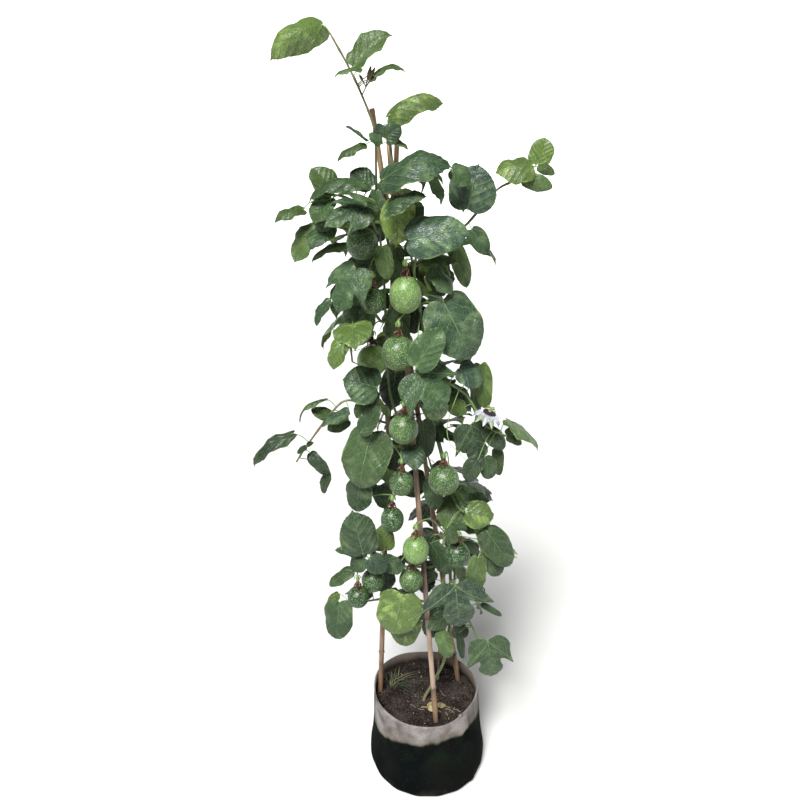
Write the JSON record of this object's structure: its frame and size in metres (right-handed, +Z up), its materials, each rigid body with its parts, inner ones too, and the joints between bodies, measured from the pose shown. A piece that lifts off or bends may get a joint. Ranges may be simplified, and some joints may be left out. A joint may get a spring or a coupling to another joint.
{
  "type": "potted passion fruit vine",
  "caption": "Passion fruit vine with lobed leaves, speckled green fruits and a flower, climbing leaning bamboo canes in a round felt grow bag filled with soil.",
  "frame": {"origin": "on the floor, under the middle of the grow bag's rim", "axes": "+Z up, -Y towards the front, the side with most of the fruits, +X to the right seen from the front"},
  "size_m": [0.5598, 0.3872, 1.6282],
  "materials": {
    "felt": "matt needle felt, near-black with green algae below and a pale dusty band at the rim",
    "soil": "matt crumbly potting soil with a few pale specks",
    "cane_grey": "weathered grey-brown bamboo",
    "cane_brown": "reddish-brown bamboo",
    "cane_tan": "tan bamboo with a low sheen",
    "twine": "matt natural twine",
    "green_bark": "young green-grey bark",
    "brown_bark": "thin brown bark",
    "rind": "smooth green rind with fine pale specks and a broad soft highlight",
    "withered": "dry crinkled orange-brown remains",
    "petal": "soft white petals and filaments",
    "flower_heart": "dark purple crown with a yellow-green column",
    "leaf": "mid green blade with pale veins and a soft sheen, paler underneath",
    "weed": "fine grass blades, some dry",
    "dry_leaf": "dry yellow leaf"
  },
  "bodies": {
    "root": {"grow_bag": "felt", "soil": "soil", "cane_front": "cane_grey", "cane_left": "cane_brown", "cane_right": "cane_tan", "cane_tie": "twine", "stem_green": "green_bark", "stem_brown": "brown_bark", "fruit_01": "rind", "withered_01": "withered", "fruit_02": "rind", "withered_02": "withered", "fruit_03": "rind", "withered_03": "withered", "fruit_04": "rind", "withered_04": "withered", "fruit_05": "rind", "withered_05": "withered", "fruit_06": "rind", "withered_06": "withered", "fruit_07": "rind", "withered_07": "withered", "fruit_08": "rind", "withered_08": "withered", "fruit_09": "rind", "withered_09": "withered", "fruit_10": "rind", "withered_10": "withered", "fruit_11": "rind", "withered_11": "withered", "fruit_12": "rind", "withered_12": "withered", "fruit_13": "rind", "withered_13": "withered", "fruit_14": "rind", "withered_14": "withered", "fruit_15": "rind", "withered_15": "withered", "flower_petals": "petal", "flower_heart": "flower_heart", "shoot_top": "leaf", "shoot_crown": "leaf", "shoot_right_up": "leaf", "shoot_left_up": "leaf", "shoot_left_high": "leaf", "shoot_centre": "leaf", "shoot_left_mid": "leaf", "shoot_right_mid": "leaf", "shoot_left_out": "leaf", "shoot_mid_low": "leaf", "shoot_right_low": "leaf", "shoot_left_low": "leaf", "shoot_left_bottom": "leaf", "shoot_right_bottom": "leaf", "shoot_back_low": "leaf", "shoot_back_mid": "leaf", "shoot_back_high": "leaf", "weed_tuft": "weed", "dry_leaf": "dry_leaf"}
  },
  "joints": []
}
